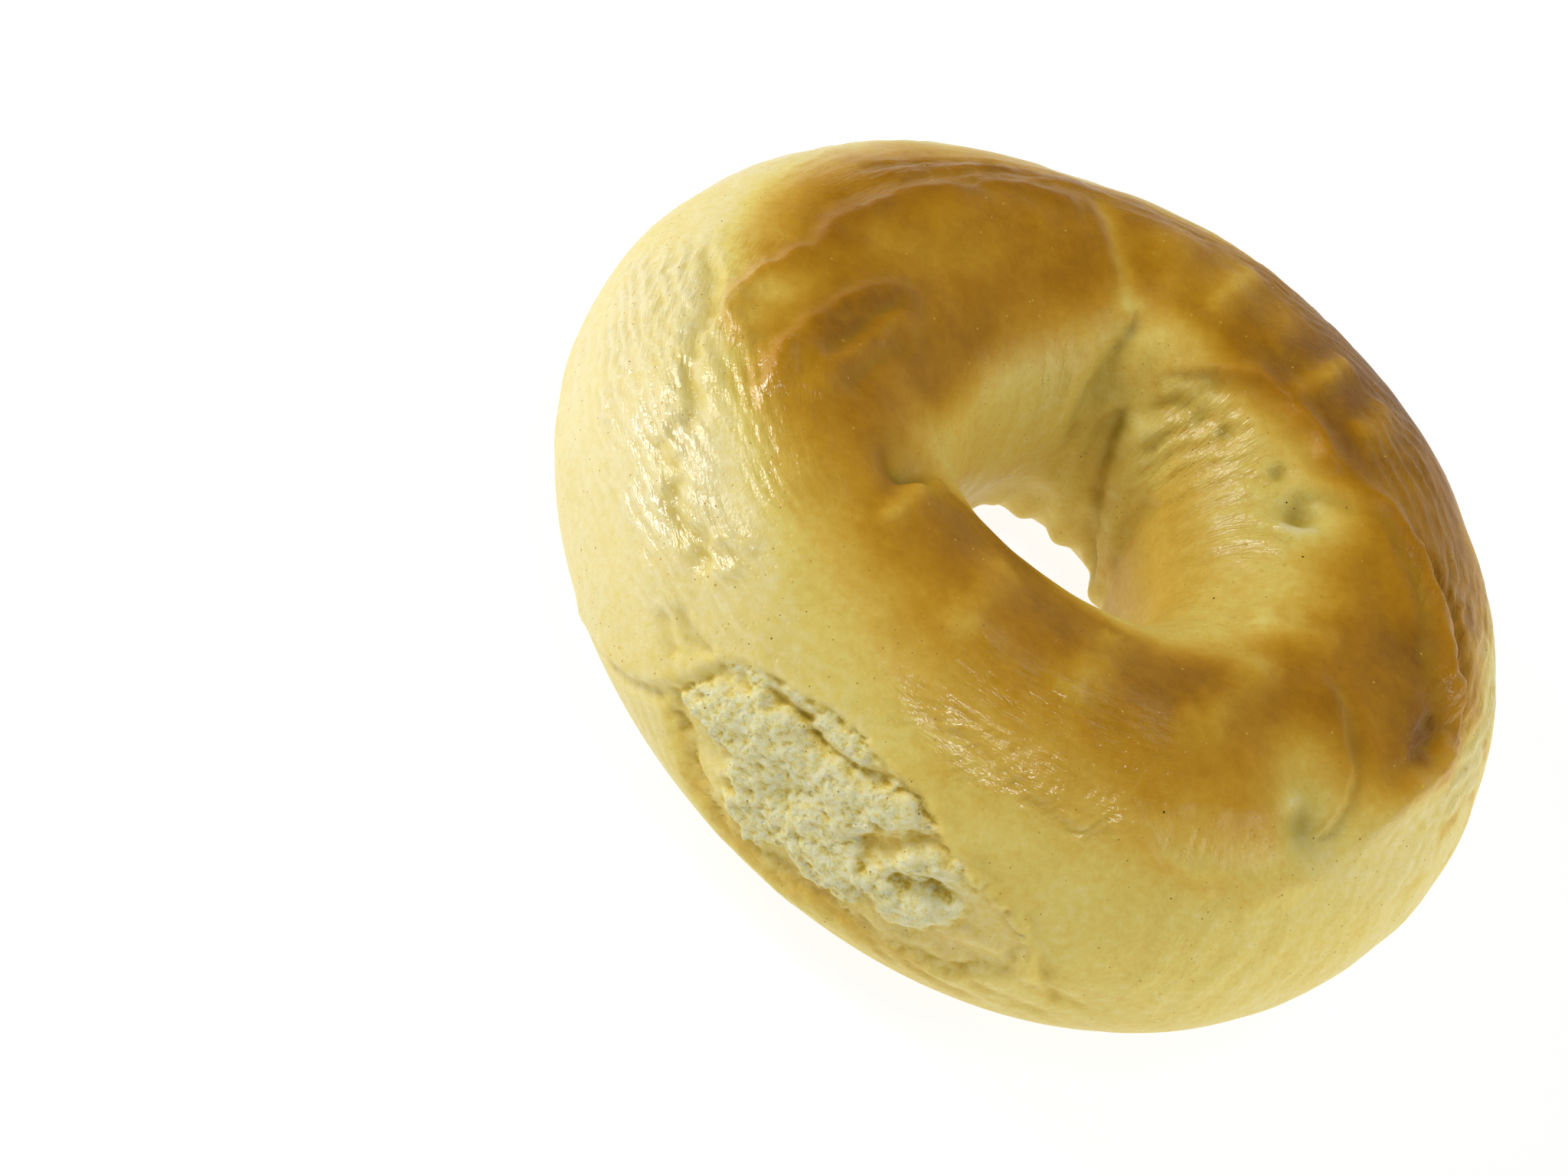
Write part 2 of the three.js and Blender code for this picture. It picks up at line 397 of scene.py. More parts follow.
def dimples():
    """The dimples beside the hole, on its far wall and on the right shoulder."""
    # The pits and creases here take the olive tone, which paints their shade.
    dent(225, 113, 3.0, 4.6, 1.1, bake=-0.24, green_and_shade=0.35)
    dent(227, 111, 1.5, 2.6, 1.4, green_and_shade=0.5)
    dent(213, 118, 5.0, 4.5, 0.3, bake=-0.28)
    lip([(223, 129), (229, 117), (231.5, 108), (230.5, 100)], 1.2, 3.4, cut=0.5)
    dent(31.5, 117.5, 1.9, 2.1, 1.4, bake=0.06, green_and_shade=0.55)
    dent(30, 118, 4.2, 4.6, 0.4, bake=-0.1, green_and_shade=0.1)
    ridge([(37, 121), (36, 112), (34, 105), (30, 99)], 0.9, -0.5, green_and_shade=0.25)
    ridge([(26, 112), (25.5, 119), (28, 126)], 1.0, 0.5, bake=-0.12)
    for azimuth, section, size in [(65.5, 128.5, 1.1), (45.5, 120.5, 1.2)]:
        dent(azimuth, section, size, size, 1.0, green_and_shade=0.45)
    ridge([(89, 143), (84, 134), (77, 131), (70, 133)], 1.3, -0.7, green_and_shade=0.2)
    ridge([(91, 134), (84, 128), (75, 126)], 1.4, 0.6, bake=-0.05)
    dent(325.5, 54, 3.2, 3.4, 1.1, bake=-0.04, green_and_shade=0.45)
    dent(328, 67, 5.2, 5.8, 0.6, bake=-0.3, green_and_shade=0.16)
    dent(324, 63.5, 1.8, 1.3, -0.7, bake=-0.14)
    dent(330, 80, 3.6, 3.4, 0.3, bake=-0.14)
    lip([(325, 49), (331, 56), (335.5, 66), (338.5, 77), (344, 96)], 1.1, 3.6, cut=0.4,
        bake=0.14, bake_fade=4.5, edge=1.8)


# Wrinkles: where they are, how the crests run from the ring's own direction, the spacing in mm, how
# high they stand, how much they wander, and how much they gather the shine.
WRINKLES = [
    ((186, 238), (14, 46), 12, 1.7, 0.32, 4.0, 1.0),  # worm-like blisters on the pale side
    ((183, 214), (40, 62), 24, 1.9, 0.22, 3.0, 0.8),
    ((192, 222), (2, 20), 6, 2.2, 0.16, 2.5, 0.6),
    ((204, 234), (56, 84), 8, 1.4, 0.22, 1.2, 0.8),
    ((228, 262), (22, 62), 16, 1.9, 0.09, 3.0, 0.35),
    ((262, 298), (47, 66), 30, 1.3, 0.24, 5.0, 1.0),  # the blistered patch
    ((264, 306), (62, 94), -5, 1.4, 0.19, 1.4, 0.8),  # fine lines along the ring
    ((298, 322), (46, 62), 86, 1.5, 0.13, 2.0, 0.3),
    ((350, 392), (28, 68), -12, 2.0, 0.42, 2.8, 0.45),  # outside the overlap
    ((328, 352), (22, 54), 42, 2.4, 0.20, 3.0, 0.3),
    ((372, 412), (56, 88), 12, 2.4, 0.36, 2.4, 0.25),
    ((372, 446), (120, 162), 62, 3.3, 0.30, 2.4, 0.5),  # pleats on the far wall of the hole
    ((334, 372), (122, 160), 72, 3.0, 0.14, 2.0, 0.25),
    ((118, 182), (126, 188), 84, 3.2, 0.14, 2.4, 0.15),
    ((96, 166), (50, 74), 4, 2.3, 0.24, 2.4, 0.3),
    ((40, 98), (46, 72), 30, 2.3, 0.28, 2.6, 0.25),
    ((236, 312), (-26, 14), -28, 2.4, 0.12, 2.6, 0.15),
    ((300, 345), (0, 36), 70, 5.0, 0.2, 4.5, 0.12),  # soft pleats below the shoulder
    ((40, 172), (-30, 50), 14, 3.6, 0.10, 4.5, 0.25),  # the hidden side, like the side that shows
]


def ripples(middle, angle, spacing, wander, seed):
    """Wavy parallel crests from 0 to 1, at this angle from the ring's own direction."""
    along, across = turn(AZ - middle) * ALONG_MM, SEC * ACROSS_MM
    c, s = np.cos(np.radians(angle)), np.sin(np.radians(angle))
    phase = 2 * np.pi * (across * c - along * s) / spacing + wander * lumps(5 * spacing, seed, 3)
    return 0.5 + 0.5 * np.sin(phase + wander * 0.8 * lumps(1.8 * spacing, seed + 1, 2))


CREST_SHARPNESS = 1.4
CREST_MIDDLE = 0.4  # the height of a crest that neither adds nor takes dough


def wrinkles():
    """Patches of parallel wrinkles, broken up by noise, that also gather the shine."""
    for seed, (azimuths, sections, angle, spacing, height, wander, shine) in enumerate(WRINKLES):
        where = patch(azimuths, sections, soft=6)
        crests = ripples(sum(azimuths) / 2, angle, spacing, wander, seed + 20)
        crests = crests**CREST_SHARPNESS - CREST_MIDDLE
        broken = ease(lumps(3 * spacing, seed + 50, 2), -0.3, 0.3)
        rise[:] += height * where * (0.4 + 0.6 * broken) * crests
        tint[:] -= 0.1 * height * where * crests
        gloss[:] = np.maximum(gloss, shine * where * (0.45 + 0.55 * broken))
        lines = lines_across if 45 < abs(angle) < 135 else lines_round
        lines[:] = np.maximum(lines, min(height * 1.8, 0.6) * where)


def pale_side_folds():
    """The valleys between the blisters on the left, and the small folds below them."""
    # The two deep valleys are painted darker and olive: painted shade.
    ridge([(185, 37), (191, 44), (196, 46.5), (202, 46), (208, 44.5), (214, 44.5), (217, 40)],
          1.1, -0.85, bake=0.08, green_and_shade=0.14)
    ridge([(188, 44), (194, 51), (199, 51.5), (203, 47.5), (206, 47.5), (210, 51), (211, 55)],
          0.9, 0.55)
    ridge([(215, 46), (214, 41), (215, 36.5), (218, 36), (221, 38)], 0.9, 0.5)
    ridge([(216, 33.5), (219, 34.5), (222, 36)], 0.9, -0.5, bake=0.05)
    ridge([(221, 38), (223, 35), (226, 33), (229, 34), (231, 37), (233, 35), (236, 34.5)],
          1.1, -0.75, bake=0.07, green_and_shade=0.12)
    ridge([(233, 37), (232, 42), (234, 47), (236, 50)], 0.9, 0.5)
    ridge([(234, 36), (236, 38), (237, 44)], 0.8, 0.5)
    ridge([(236, 24), (238, 21), (241, 21), (244, 24)], 0.9, -0.7, green_and_shade=0.1)
    ridge([(235, 17), (238, 14), (241, 13.5)], 0.9, -0.5)
    ridge([(262, 59), (268, 57), (275, 57), (282, 54), (290, 49), (297, 51)], 0.9, -0.45)
    ridge([(261, 66), (268, 66), (276, 66), (285, 66), (294, 63)], 0.9, 0.4)
    ridge([(290, 61), (297, 63), (304, 64), (313, 63.5), (321, 61)], 1.6, 0.4, bake=0.03)
    ridge([(294, 62), (297, 56), (301, 48), (306, 43), (312, 41), (318, 40), (324, 41), (330, 43)],
          1.7, 0.75, bake=0.06)
    ridge([(300, 55), (306, 48), (313, 45), (320, 45)], 1.8, -0.3, bake=-0.04)


TEAR = [
    (242, 4), (243.5, -1.5), (247, -7), (250.5, -13), (257.5, -19), (264, -19), (268, -15),
    (272, -13), (279, -12.5), (285, -9), (289, -3), (292, 5), (291, 13), (288, 20), (284, 24),
    (278.5, 29.5), (273, 36.5), (269, 38.5), (264.5, 40), (258, 41), (254.5, 37.5), (249.5, 34),
    (245.5, 27), (244, 19.5), (243, 11),
]
CRUMB_BODY = [
    (244, 9), (245, 4.5), (249, 3), (252, 1), (255, -7), (258, -15), (264, -10.5), (269, -11),
    (273, -6), (272.5, 4), (270, 15), (273, 24), (275, 29), (273, 34.5), (270, 35), (266, 31.5),
    (261.5, 28), (257, 30.5), (253, 29.5), (249.5, 26), (247, 21),
]
CRUMB_STRIP = [
    (245.5, 25), (249, 28), (253.5, 32.5), (257.5, 32.5), (261.5, 31), (266, 35.5), (264.5, 38.5),
    (262, 40), (258, 39.5), (254.5, 37), (251, 34.5), (247.5, 31.5),
]
CRUMB_LOBE = [
    (273.5, 0), (277, -3), (281, 1), (283.5, 14), (282, 22), (277.5, 27), (274, 21), (272, 8),
]


def tear():
    """The place on the side where the crust was pulled off, and the crumb that it bared."""
    inside = outline(TEAR, 0.9, 60)
    torn = ease(inside, -0.4, 0.9)
    body = ease(outline(CRUMB_BODY, 2.0, 63), -1.0, 1.4)
    strip = ease(outline(CRUMB_STRIP, 1.4, 69), -0.8, 1.1)
    lobe = ease(outline(CRUMB_LOBE, 1.8, 66), -1.0, 1.4)
    heap = np.clip(body + strip + lobe, 0, 1)
    crumb[:] = ease(inside, -0.3, 0.4) * (0.3 + 0.7 * heap)
    coarse, medium, fine = lumps(6.0, 70, 2), lumps(2.2, 71, 2), lumps(0.9, 72, 2)
    rough = 0.5 * coarse + (0.15 + 0.85 * heap) * (0.42 * medium + 0.32 * fine)
    rise[:] += torn * (-1.0 + 1.2 * body + 0.8 * strip + 1.0 * lobe + rough)
    rise[:] += 0.2 * np.exp(-(((inside + 0.9) / 0.8) ** 2))
    tint[:] += 0.05 * torn * (1 - heap)
    # The cavity under the lobe and the crease under the crust's edge take the olive tone as painted
    # shade.
    ridge([(274.5, 6), (277, 11.5), (280, 15), (283, 15.5)], 1.3, -1.7, green_and_shade=0.25)
    ridge([(274, 16), (277, 21), (281, 21)], 1.6, 0.6)
    crease = [(250, 28), (254.5, 31.5), (258, 31), (262, 29.5), (266.5, 33), (270, 36),
              (273, 35), (275.5, 29)]
    ridge(crease, 0.9, -0.9, green_and_shade=0.2, ends=0.08)
    ridge([(267, 5), (271, 14), (274, 24), (277, 29)], 1.1, -0.6, bake=0.04)
    ridge([(284, 5), (287, 8), (290, 8)], 1.1, 0.5)
    ridge([(281, -3), (284, -5), (288, -2)], 1.2, 0.5)


def skirt():
    """The thin skirt of crust under the torn place, and the folds that run from its ends."""
    lip([(222, -27), (226, -24), (230, -20), (233, -15.5), (236, -10), (239, -5), (241, 1),
         (243, 8)], 0.6, 4.0, cut=0.5, edge=1.0)
    ridge([(240, -5), (243.5, -2), (247, -8), (250.5, -14), (257, -20.5), (264, -21), (269, -16),
           (273, -14.5), (280, -15), (288, -19)], 1.1, -0.8, bake=0.12, bake_width=1.5)
    ridge([(250, -22), (258, -26), (268, -25), (276, -26)], 2.2, 0.3)
    lip([(296, 2), (293, 8), (289, 18), (284, 24), (279, 29)], 0.6, 3.5, cut=0.5)
    ridge([(299, -8), (296, 2), (292, 10)], 1.0, -0.35, bake=0.05)
    ridge([(283, -4), (289, -7), (295, -12), (301, -15)], 1.0, -0.4, bake=0.04)
    ridge([(284, 3), (291, 1), (298, -3), (305, -6)], 0.9, -0.3, bake=0.04)
    ridge([(279, -12), (285, -15), (292, -21)], 1.0, -0.45, bake=0.05)
    ridge([(268, -27), (278, -29), (288, -27)], 1.4, -0.3)


# ------------------------------------------------------------------ how far it is baked

# Round the ring: the section angle at which the browning is half there, how gently it comes, how
# brown it gets, the angle at which it is half gone towards the hole, and how gently it goes.
BROWNING = [
    (0, 49, 11, 0.78, 108, 14),
    (15, 45, 14, 0.63, 112, 14),
    (30, 39, 15, 0.78, 98, 12),
    (45, 37, 15, 0.88, 108, 11),
    (60, 37, 15, 1.00, 112, 9),
    (75, 40, 15, 0.88, 115, 9),
    (90, 50, 14, 0.72, 110, 10),
    (105, 55, 14, 0.74, 106, 12),
    (120, 50, 16, 0.76, 118, 15),
    (135, 50, 18, 0.80, 124, 14),
    (150, 40, 17, 0.73, 130, 14),
    (165, 47, 17, 0.74, 134, 12),
    (180, 52, 19, 0.73, 134, 12),
    (195, 67, 22, 0.78, 132, 12),
    (210, 67, 26, 0.78, 122, 12),
    (225, 76, 30, 0.76, 126, 12),
    (240, 80, 36, 0.84, 142, 12),
    (270, 76, 40, 0.80, 142, 12),
    (285, 73, 40, 0.80, 136, 12),
    (300, 68, 36, 0.83, 121, 12),
    (315, 65, 33, 0.81, 118, 12),
    (330, 68, 28, 0.76, 112, 14),
    (345, 55, 12, 0.72, 116, 14),
]
# How far the side is baked under the browning, as (azimuth, level), and the wall of the hole.
PALE_SIDE = [(60, 0.10), (150, 0.10), (185, 0.05), (220, 0.02), (245, 0.09), (275, 0.16),
             (315, 0.15), (350, 0.10)]
WALL_LEVEL = 0.2


def bake_field():
    """How far the crust is baked, 0 raw to 1 dark brown."""
    azimuths, *columns = zip(*BROWNING)
    start, start_fade, brown, end, end_fade = (round_ring(zip(azimuths, c)) for c in columns)
    section = SEC + 4 * lumps(9, 90, 2)
    come = ease((section - start) / start_fade, -1, 1)
    go = ease((section - end) / end_fade, -1, 1)
    pale = round_ring(PALE_SIDE)
    crown = pale + (brown - pale) * come
    level = crown + (WALL_LEVEL - crown) * go
    mottle = 0.09 * lumps(7, 91, 3) + 0.04 * lumps(1.8, 92, 2)
    return np.clip(level + mottle * (0.35 + 0.65 * ease(level, 0.1, 0.6)) + tint, 0, 1)


def blurred(field, steps):
    """The field averaged with its neighbours on the grid."""
    for axis in (0, 1):
        for _ in range(steps):
            field = (np.roll(field, 1, axis) + 2 * field + np.roll(field, -1, axis)) / 4
    return field


def broad_tones():
    """A darker right wall of the hole, a paler far wall, the blotched right side, and olive painted
    as shade deeper into the hole.
    """
    tint[:] += 0.07 * patch((-20, 62), (150, 205), 10)
    tint[:] -= 0.05 * patch((95, 172), (140, 205), 10)
    tint[:] += 0.2 * patch((345, 400), (14, 62), 8) * ease(lumps(3.2, 95, 2), 0.0, 0.9)
    # Painted shade: the olive tone grows deeper into the hole.
    olive_and_shade[:] += 0.09 * ease(SEC, 122, 150)


def flatten_base():
    """Fade the features out towards the base, so that the bagel lies flat."""
    rise[:] *= ease(SEC, -52, -34) * ease(242 - SEC, 0, 12)


HOLLOW_DEPTH = 0.5  # how far under its surroundings the crust is where it counts as hollow, mm
HOLLOW_DULLNESS = 0.8  # how much of the shine a hollow loses

broad_tones()
unevenness()
press_ridges()
shoulder_folds()
overlap()
seam()
throat()
dimples()
wrinkles()
pale_side_folds()
skirt()
tear()
flatten_base()
bake = bake_field()
# How far the crust lies under its surroundings: the material paints shade there, and the hollows lose
# shine.
hollow = np.clip((blurred(rise, 5) - rise) / HOLLOW_DEPTH, 0, 1)
gloss *= 1 - HOLLOW_DULLNESS * hollow

# ------------------------------------------------------------------ the mesh


def ring_faces():
    """The grid's quads, joined round the ring and round the section."""
    columns, rows = SHAPE
    index = np.arange(columns * rows).reshape(SHAPE)
    right, up = np.roll(index, -1, 0), np.roll(index, -1, 1)
    return np.stack([index, right, np.roll(right, -1, 1), up], axis=-1).reshape(-1, 4)


def lay_out(mesh):
    """A flat map of the crust, one strip round the ring, for baking its colours."""
    columns, rows = SHAPE
    u = np.append(AZ[:, 0], 360) / 360
    steps = np.diff(np.append(SEC[0], SEC[0, 0] + 360))
    lengths = np.append(0, np.cumsum(ACROSS_MM.mean(0) * steps))
    v = lengths / lengths[-1]
    column, row = np.divmod(np.arange(columns * rows), rows)
    corner_u = np.stack([u[column], u[column + 1], u[column + 1], u[column]], axis=-1)
    corner_v = np.stack([v[row], v[row], v[row + 1], v[row + 1]], axis=-1)
    layer = mesh.uv_layers.new(name="OFBake")
    layer.data.foreach_set("uv", np.stack([corner_u, corner_v], axis=-1).ravel())


def flow_places(radius=57.0):
    """Places for wrinkles to follow: the azimuth on a circle, and the way across it, mm."""
    azimuth = np.radians(AZ) + 0 * SEC
    across = SEC * ACROSS_MM.mean() + 0 * AZ
    return np.stack([radius * np.cos(azimuth), radius * np.sin(azimuth), across], axis=-1)


def build_crust():
    """The crust's mesh, which carries the fields that its material reads."""
    points = positions(base_reach + rise).reshape(-1, 3) * MM
    mesh = bpy.data.meshes.new("bagel_crust")
    mesh.from_pydata(points.tolist(), [], ring_faces().tolist())
    mesh.polygons.foreach_set("use_smooth", [True] * len(mesh.polygons))
    fields = {"bake": bake, "crumb": crumb, "olive_and_shade": olive_and_shade, "rust": rust, "hollow": hollow,
              "gloss": gloss, "lines_round": lines_round, "lines_across": lines_across}
    for name, field in fields.items():
        attribute = mesh.attributes.new(name, "FLOAT", "POINT")
        attribute.data.foreach_set("value", np.clip(field, 0, 1).astype(np.float32).ravel())
    flow = mesh.attributes.new("flow", "FLOAT_VECTOR", "POINT")
    flow.data.foreach_set("vector", flow_places().astype(np.float32).ravel())
    lay_out(mesh)
    mesh.validate()
    crust = bpy.data.objects.new("bagel_crust", mesh)
    bpy.context.scene.collection.objects.link(crust)
    return crust


# ------------------------------------------------------------------ the material


def srgb(*color):
    """A colour given in sRGB, 0 to 255, as the linear values that a shader takes."""
    parts = [c / 255 for c in color]
    linear = [c / 12.92 if c <= 0.04045 else ((c + 0.055) / 1.055) ** 2.4 for c in parts]
    return (*linear, 1)


# A Mix node's sockets for each kind of value: A, B and the result.
MIX_SOCKETS = {"FLOAT": (2, 3, 0), "VECTOR": (4, 5, 1), "RGBA": (6, 7, 2)}


class Shader:
    """A material's node tree, with short ways to add the nodes that this one needs."""

    def __init__(self, name):
        self.material = bpy.data.materials.new(name)
        self.material.use_nodes = True
        self.tree = self.material.node_tree
        self.surface = self.tree.nodes["Principled BSDF"]
        self.place = self.node("ShaderNodeTexCoord").outputs["Object"]

    def node(self, kind, inputs=None, **settings):
        made = self.tree.nodes.new(kind)
        for key, value in settings.items():
            setattr(made, key, value)
        for key, value in (inputs or {}).items():
            self.put(made.inputs[key], value)
        return made

    def put(self, socket, value):
        if isinstance(value, bpy.types.NodeSocket):
            self.tree.links.new(value, socket)
        else:
            socket.default_value = value

    def field(self, name):
        return self.node("ShaderNodeAttribute", attribute_name=name).outputs["Fac"]

    def noise(self, size, detail=3.0, roughness=0.55):
        """Noise with features of about this size, mm."""
        inputs = {"Vector": self.place, "Scale": 1 / (size * MM), "Detail": detail,
                  "Roughness": roughness}
        return self.node("ShaderNodeTexNoise", inputs).outputs["Fac"]

    def flow_noise(self, round_size, across_size):
        """Noise stretched along the ring or across it, mm."""
        flow = self.node("ShaderNodeAttribute", attribute_name="flow").outputs["Vector"]
        scale = (1 / round_size, 1 / round_size, 1 / across_size)
        inputs = {0: flow, 1: scale}
        place = self.node("ShaderNodeVectorMath", inputs, operation="MULTIPLY").outputs[0]
        inputs = {"Vector": place, "Scale": 1.0, "Detail": 3.0, "Roughness": 0.6}
        return self.node("ShaderNodeTexNoise", inputs).outputs["Fac"]

    def cells(self, size):
        """Scattered cells of about this size, mm: each one's distance and colour."""
        inputs = {"Vector": self.place, "Scale": 1 / (size * MM)}
        return self.node("ShaderNodeTexVoronoi", inputs).outputs

    def math(self, operation, a, b):
        return self.node("ShaderNodeMath", {0: a, 1: b}, operation=operation).outputs[0]

    def remap(self, value, low, high, to_low=0.0, to_high=1.0):
        inputs = {"Value": value, "From Min": low, "From Max": high, "To Min": to_low,
                  "To Max": to_high}
        return self.node("ShaderNodeMapRange", inputs).outputs["Result"]

    def mix(self, factor, a, b, kind="RGBA"):
        first, second, result = MIX_SOCKETS[kind]
        inputs = {"Factor": factor, first: a, second: b}
        return self.node("ShaderNodeMix", inputs, data_type=kind).outputs[result]

    def ramp(self, value, stops):
        made = self.node("ShaderNodeValToRGB", {"Fac": value})
        elements = made.color_ramp.elements
        elements[0].position, elements[0].color = stops[0]
        elements[1].position, elements[1].color = stops[-1]
        for position, color in stops[1:-1]:
            elements.new(position).color = color
        return made.outputs["Color"]

    def bump(self, height, distance, strength, normal=None):
        """A bump whose height runs over this distance, mm."""
        inputs = {"Height": height, "Distance": distance * MM, "Strength": strength}
        if normal is not None:
            inputs["Normal"] = normal
        return self.node("ShaderNodeBump", inputs).outputs["Normal"]


# The crust's colour from raw to dark brown, and the crumb's from its face to its holes, whose darker
# tones paint the holes' shade.
CRUST_TONES = [
    (0.0, srgb(240, 226, 168)),
    (0.14, srgb(231, 210, 112)),
    (0.26, srgb(222, 186, 80)),
    (0.38, srgb(211, 167, 58)),
    (0.52, srgb(198, 148, 34)),
    (0.74, srgb(172, 120, 10)),
    (1.0, srgb(132, 84, 6)),
]
CRUMB_TONES = [
    (0.0, srgb(255, 248, 204)),
    (0.45, srgb(250, 235, 154)),
    (1.0, srgb(220, 188, 58)),
]
RUST_TONE = srgb(186, 128, 20)
# The greenish tone that paints shade in dimples, creases and valleys.
OLIVE_SHADE_TONE = srgb(150, 134, 38)
# Painted shade for the crust's hollows.
HOLLOW_SHADE_TONE = srgb(188, 154, 48)
# Specks: the spacing of their cells and their own radius, mm, the share of the cells that has one,
# and their tone.
SPECKS = [
    (1.0, 0.12, 0.30, srgb(166, 122, 46)),
    (1.7, 0.11, 0.40, srgb(206, 168, 72)),
    (2.6, 0.055, 0.40, srgb(128, 88, 32)),
    (6.0, 0.030, 0.45, srgb(70, 48, 20)),
    (12.0, 0.022, 0.35, srgb(232, 196, 24)),
]


def crust_color(shader):
    """The baked tone, turned by rust, by the olive tone that paints shade in folds and dimples, and
    by painted shade in the hollows.
    """
    mottle = shader.remap(shader.noise(1.1, 4, 0.65), 0.25, 0.75, -0.06, 0.06)
    level = shader.math("ADD", shader.field("bake"), mottle)
    color = shader.ramp(level, CRUST_TONES)
    color = shader.mix(shader.field("rust"), color, RUST_TONE)
    color = shader.mix(shader.field("olive_and_shade"), color, OLIVE_SHADE_TONE)
    # Painted shade: the deeper the crust lies under its surroundings, the more it takes the dark
    # hollow tone.
    hollow_shade = shader.math("MULTIPLY", shader.field("hollow"), 0.4)
    return shader.mix(hollow_shade, color, HOLLOW_SHADE_TONE)


def add_specks(shader, color):
    """Fine dark specks of bran in the dough, paler pinpricks, and a few yellow specks."""
    for size, reach, chosen, tone in SPECKS:
        cells = shader.cells(size)
        near = shader.remap(cells["Distance"], reach, reach * 0.55)
        picked = shader.math("LESS_THAN", shader.node(
            "ShaderNodeSeparateColor", {"Color": cells["Color"]}).outputs[0], chosen)
        color = shader.mix(shader.math("MULTIPLY", near, picked), color, tone)
    return color


def crust_relief(shader, torn):
    """Relief finer than the mesh: pebbled skin, pores and fine wrinkles, and the crumb's holes."""
    skin = shader.bump(shader.noise(0.5, 2, 0.6), 0.1, 0.7)
    pores = shader.remap(shader.cells(1.4)["Distance"], 0.05, 0.22)
    skin = shader.bump(pores, 0.09, 0.6, skin)
    for name, size in {"lines_round": (5.0, 1.0), "lines_across": (2.4, 4.0)}.items():
        height = shader.math("MULTIPLY", shader.flow_noise(*size), shader.field(name))
        skin = shader.bump(height, 1.0, 0.7, skin)
    open_crumb = shader.bump(shader.noise(0.55, 4, 0.8), 0.5, 0.9)
    holes = shader.remap(shader.cells(0.9)["Distance"], 0.1, 0.45)
    open_crumb = shader.bump(holes, 0.25, 0.7, open_crumb)
    return shader.mix(torn, skin, open_crumb, "VECTOR")


def crumb_color(shader):
    """Palest where the crumb stands out and darker in its holes, which is painted shade, with a
    random grain.
    """
    grain = shader.remap(shader.noise(0.8, 4, 0.7), 0.32, 0.68, -0.25, 0.65)
    return shader.ramp(shader.math("ADD", shader.field("hollow"), grain), CRUMB_TONES)


def crust_shine(shader, torn):
    """The coat's weight and the roughness under it: the crumb is dull."""
    shine = shader.math("MULTIPLY", shader.field("gloss"), shader.math("SUBTRACT", 1.0, torn))
    dull = shader.remap(shader.noise(2.6, 4, 0.6), 0.3, 0.7, 0.44, 0.58)
    roughness = shader.math("SUBTRACT", dull, shader.math("MULTIPLY", shine, 0.2))
    return shine, shader.mix(torn, roughness, 0.95, "FLOAT")


CRUST_SURFACE = {
    "Coat Roughness": 0.15,
    "Coat IOR": 1.6,
    "Specular IOR Level": 0.22,
    "IOR": 1.42,
    "Subsurface Weight": 0.25,
    "Subsurface Radius": (1.0, 0.7, 0.35),
    "Subsurface Scale": 1.2 * MM,
}


def crust_material():
    shader = Shader("bagel_crust")
    torn = shader.field("crumb")
    color = shader.mix(torn, crust_color(shader), crumb_color(shader))
    shine, roughness = crust_shine(shader, torn)
    normal = crust_relief(shader, torn)
    inputs = {
        "Base Color": add_specks(shader, color),
        "Roughness": roughness,
        "Coat Weight": shine,
        "Normal": normal,
        "Coat Normal": normal,
    }
    for name, value in {**CRUST_SURFACE, **inputs}.items():
        shader.put(shader.surface.inputs[name], value)
    return shader.material


# ------------------------------------------------------------------ floor, light and camera


def floor_material():
    """White and lit from below, as a light table is."""
    shader = Shader("floor")
    shader.surface.inputs["Base Color"].default_value = (0.2, 0.2, 0.2, 1)
    shader.surface.inputs["Roughness"].default_value = 1.0
    shader.surface.inputs["Specular IOR Level"].default_value = 0.0
    shader.surface.inputs["Emission Color"].default_value = (1, 1, 1, 1)
    shader.surface.inputs["Emission Strength"].default_value = 0.88
    return shader.material


def build_floor(half=3.0):
    """A square floor that reaches this many metres to each side."""
    mesh = bpy.data.meshes.new("floor")
    corners = [(-half, -half, 0), (half, -half, 0), (half, half, 0), (-half, half, 0)]
    mesh.from_pydata(corners, [], [(0, 1, 2, 3)])
    mesh.materials.append(floor_material())
    floor = bpy.data.objects.new("floor", mesh)
    bpy.context.scene.collection.objects.link(floor)


def soft_light(name, direction, distance, size, power):
    """A square soft box, facing the bagel from this direction."""
    data = bpy.data.lights.new(name, "AREA")
    data.shape, data.size, data.energy = "SQUARE", size, power
    light = bpy.data.objects.new(name, data)
    bpy.context.scene.collection.objects.link(light)
    towards = Vector(direction).normalized()
    light.location = towards * distance + Vector((0, 0, SECTION_HEIGHT * MM))
    light.rotation_euler = towards.to_track_quat("Z", "Y").to_euler()


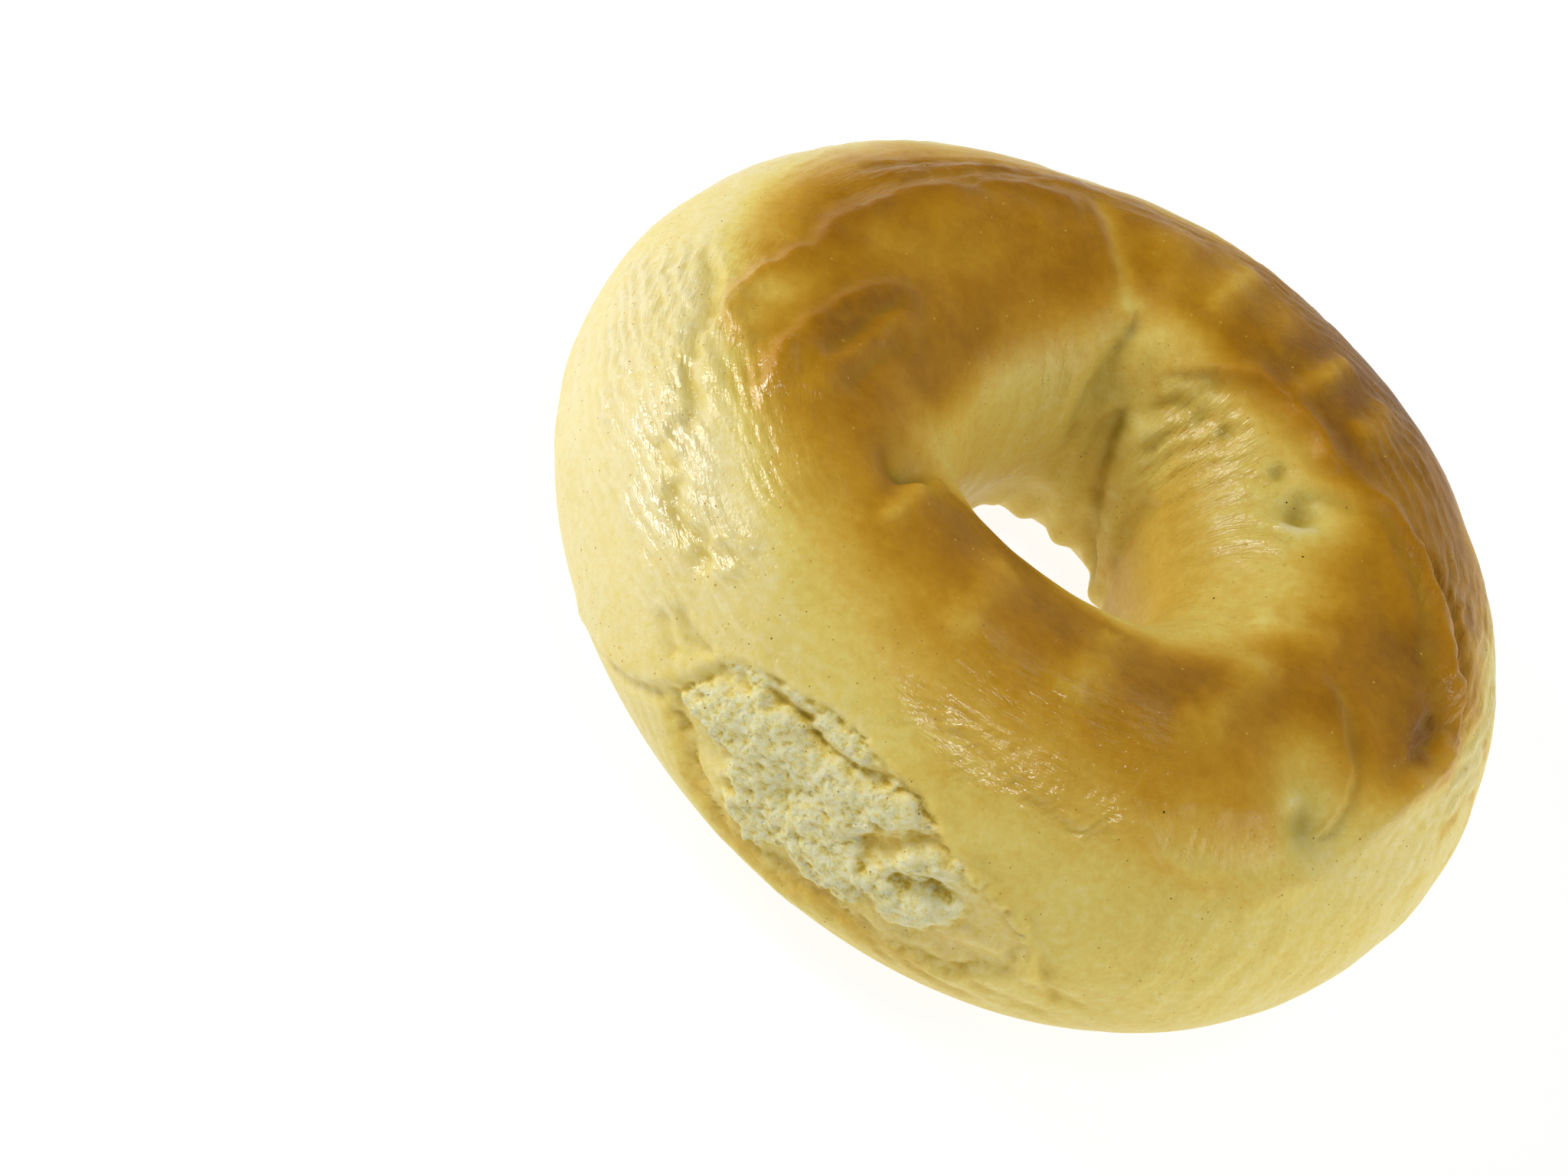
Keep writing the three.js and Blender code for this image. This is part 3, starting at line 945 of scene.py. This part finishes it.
def build_world():
    """A pale studio round the horizon that darkens overhead."""
    world = bpy.data.worlds.new("studio")
    world.use_nodes = True
    tree = world.node_tree
    direction = tree.nodes.new("ShaderNodeTexCoord").outputs["Generated"]
    split = tree.nodes.new("ShaderNodeSeparateXYZ")
    fade = tree.nodes.new("ShaderNodeMapRange")
    for name, value in {"From Min": 0.06, "From Max": 0.4, "To Min": 1.0, "To Max": 0}.items():
        fade.inputs[name].default_value = value
    tree.links.new(direction, split.inputs["Vector"])
    tree.links.new(split.outputs["Z"], fade.inputs["Value"])
    tree.links.new(fade.outputs["Result"], tree.nodes["Background"].inputs["Color"])
    bpy.context.scene.world = world


def build_lights():
    soft_light("left", (-0.85, -0.1, 0.52), 0.7, 0.24, 2.75)
    soft_light("right", (0.9, 0.1, 0.45), 0.9, 0.5, 2.9)
    soft_light("top", (0.05, -0.25, 0.97), 0.9, 0.22, 2.0)
    soft_light("back", (0.3, 0.8, 0.6), 0.9, 0.6, 0.7)
    build_world()
    bpy.context.scene.view_settings.view_transform = "Standard"


CAMERA_ELEVATION = 48.0  # degrees above the base plane, looking along +Y
CAMERA_ROLL = 36.0  # degrees, the ring's right side turned up
CAMERA_DISTANCE = 400.0  # mm
CAMERA_LENS = 75.5  # mm, on a 36 mm wide sensor
BAGEL_IN_VIEW = (31.05, 3.19)  # how far right of and above the view's middle the bagel is, mm


def build_camera():
    elevation, roll = np.radians(CAMERA_ELEVATION), np.radians(CAMERA_ROLL)
    level_right = np.array([1, 0, 0])
    back = np.array([0, -np.cos(elevation), np.sin(elevation)])
    level_up = np.cross(back, level_right)
    right = np.cos(roll) * level_right + np.sin(roll) * level_up
    up = np.cross(back, right)
    middle = np.array([*RING_AXIS, SECTION_HEIGHT])
    aside = right * BAGEL_IN_VIEW[0] + up * BAGEL_IN_VIEW[1]
    place = (middle + back * CAMERA_DISTANCE - aside) * MM
    data = bpy.data.cameras.new("camera")
    data.lens, data.sensor_width = CAMERA_LENS, 36.0
    camera = bpy.data.objects.new("camera", data)
    bpy.context.scene.collection.objects.link(camera)
    turned = Matrix((right, up, back)).transposed().to_4x4()
    camera.matrix_world = Matrix.Translation(place) @ turned
    bpy.context.scene.camera = camera


build_camera()
crust = build_crust()
crust.data.materials.append(crust_material())
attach(crust, "root")
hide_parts("bagel")
build_floor()
build_lights()
